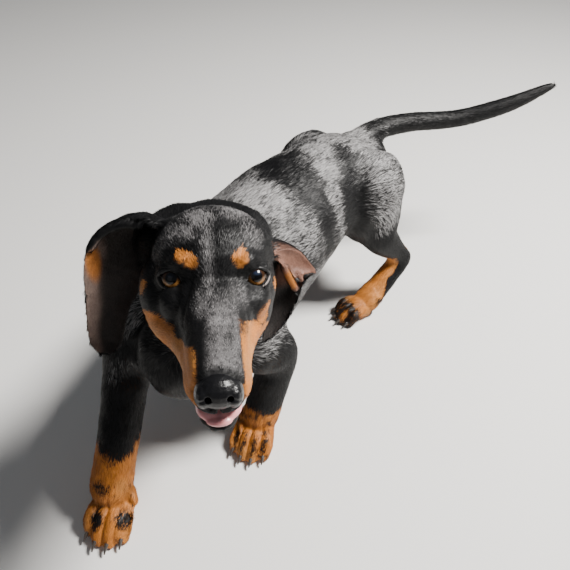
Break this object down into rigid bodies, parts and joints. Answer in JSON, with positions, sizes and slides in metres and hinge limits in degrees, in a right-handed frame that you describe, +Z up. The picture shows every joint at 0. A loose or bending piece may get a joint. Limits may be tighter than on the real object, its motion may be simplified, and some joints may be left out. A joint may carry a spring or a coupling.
{
  "type": "dachshund",
  "caption": "Smooth-haired dapple black-and-tan dachshund, walking, head turned to its left and raised, mouth a little open, tail out behind.",
  "frame": {"origin": "on the floor, under the middle of the bounding box of the whole dog", "axes": "+Z up; +Y from the dog's chest to its tail, so it faces -Y; +X to the dog's own left"},
  "size_m": [0.2898, 0.6902, 0.3098],
  "materials": {
    "coat_black": "short smooth black hair with a soft sheen",
    "coat_dapple": "short smooth hair, silver-grey dapple over black",
    "coat_tan": "short smooth orange-tan hair",
    "ear_skin": "thin haired flap, greyish skin inside",
    "eye": "wet dark brown eye",
    "nose_leather": "moist black nose leather",
    "tongue": "moist pink tongue"
  },
  "bodies": {
    "root": {"head": "coat_black", "lower_jaw": "coat_tan", "neck": "coat_black", "torso": "coat_dapple", "tail": "coat_black", "ear_left": "ear_skin", "ear_right": "ear_skin", "foreleg_left": "coat_black", "foreleg_right": "coat_black", "forepaw_left": "coat_tan", "forepaw_right": "coat_tan", "hindleg_left": "coat_dapple", "hindleg_right": "coat_dapple", "hindpaw_left": "coat_tan", "hindpaw_right": "coat_tan", "eye_left": "eye", "eye_right": "eye", "nose": "nose_leather", "tongue": "tongue"}
  },
  "joints": []
}
